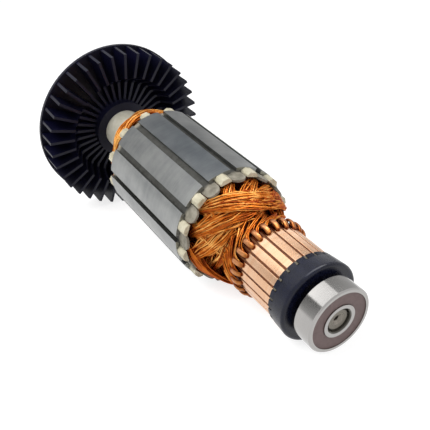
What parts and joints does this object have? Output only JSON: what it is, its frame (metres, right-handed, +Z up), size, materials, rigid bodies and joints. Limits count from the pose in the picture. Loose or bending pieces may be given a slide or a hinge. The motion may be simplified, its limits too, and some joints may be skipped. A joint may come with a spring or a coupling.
{
  "type": "motor armature",
  "caption": "Wound motor armature: slotted laminated core, enamelled windings, copper commutator, radial-blade cooling fan and a sealed ball bearing on one shaft.",
  "frame": {"origin": "on the ground under the middle of the box that holds the armature as it lies at rest on its core and its fan", "axes": "+X along the floor towards the commutator-end bearing, +Z up; the shaft leans down towards +X by 9.02 degrees"},
  "size_m": [0.172, 0.0682, 0.0688],
  "materials": {
    "shaft_steel": "ground steel, a little dull",
    "bearing_steel": "polished bearing steel",
    "seal_rubber": "brown rubber",
    "cage_steel": "pressed steel",
    "black_plastic": "black thermoset",
    "bar_copper": "bare turned copper",
    "lamination_steel": "grey electrical sheet",
    "cream_plastic": "cream plastic",
    "liner_paper": "insulating film",
    "wedge_board": "grey insulating board",
    "winding_copper": "copper with clear enamel",
    "sleeve_plastic": "off-white plastic",
    "fan_plastic": "black nylon"
  },
  "bodies": {
    "rotor": {"shaft": "shaft_steel", "bearing_inner_ring": "bearing_steel", "end_collar": "black_plastic", "commutator_hub": "black_plastic", "commutator_bar_01": "bar_copper", "commutator_bar_02": "bar_copper", "commutator_bar_03": "bar_copper", "commutator_bar_04": "bar_copper", "commutator_bar_05": "bar_copper", "commutator_bar_06": "bar_copper", "commutator_bar_07": "bar_copper", "commutator_bar_08": "bar_copper", "commutator_bar_09": "bar_copper", "commutator_bar_10": "bar_copper", "commutator_bar_11": "bar_copper", "commutator_bar_12": "bar_copper", "commutator_bar_13": "bar_copper", "commutator_bar_14": "bar_copper", "commutator_bar_15": "bar_copper", "commutator_bar_16": "bar_copper", "commutator_bar_17": "bar_copper", "commutator_bar_18": "bar_copper", "commutator_bar_19": "bar_copper", "commutator_bar_20": "bar_copper", "commutator_bar_21": "bar_copper", "commutator_bar_22": "bar_copper", "commutator_bar_23": "bar_copper", "commutator_bar_24": "bar_copper", "core_stack": "lamination_steel", "end_insulator_front": "cream_plastic", "end_insulator_rear": "cream_plastic", "slot_liners": "liner_paper", "slot_wedge_01": "wedge_board", "slot_wedge_02": "wedge_board", "slot_wedge_03": "wedge_board", "slot_wedge_04": "wedge_board", "slot_wedge_05": "wedge_board", "slot_wedge_06": "wedge_board", "slot_wedge_07": "wedge_board", "slot_wedge_08": "wedge_board", "slot_wedge_09": "wedge_board", "slot_wedge_10": "wedge_board", "slot_wedge_11": "wedge_board", "slot_wedge_12": "wedge_board", "coil_pair_1": "winding_copper", "coil_pair_2": "winding_copper", "coil_pair_3": "winding_copper", "coil_pair_4": "winding_copper", "coil_pair_5": "winding_copper", "coil_pair_6": "winding_copper", "shaft_sleeve_front": "sleeve_plastic", "shaft_sleeve_rear": "sleeve_plastic", "fan": "fan_plastic"},
    "bearing_outer": {"bearing_outer_ring": "bearing_steel", "bearing_seal_front": "seal_rubber", "bearing_seal_rear": "seal_rubber"},
    "bearing_cage": {"bearing_cage": "cage_steel", "bearing_balls": "bearing_steel"}
  },
  "joints": [
    {"name": "outer_ring_spin", "type": "hinge", "parent": "rotor", "child": "bearing_outer", "pos_m": [0.08091, 0, 0.01241], "axis": [0.9876, 0, -0.1569], "continuous": true},
    {"name": "cage_spin", "type": "hinge", "parent": "rotor", "child": "bearing_cage", "pos_m": [0.08091, 0, 0.01241], "axis": [0.9876, 0, -0.1569], "continuous": true}
  ],
  "couplings": [
    {"joint": "cage_spin", "follows": "outer_ring_spin", "ratio": 0.6323}
  ]
}
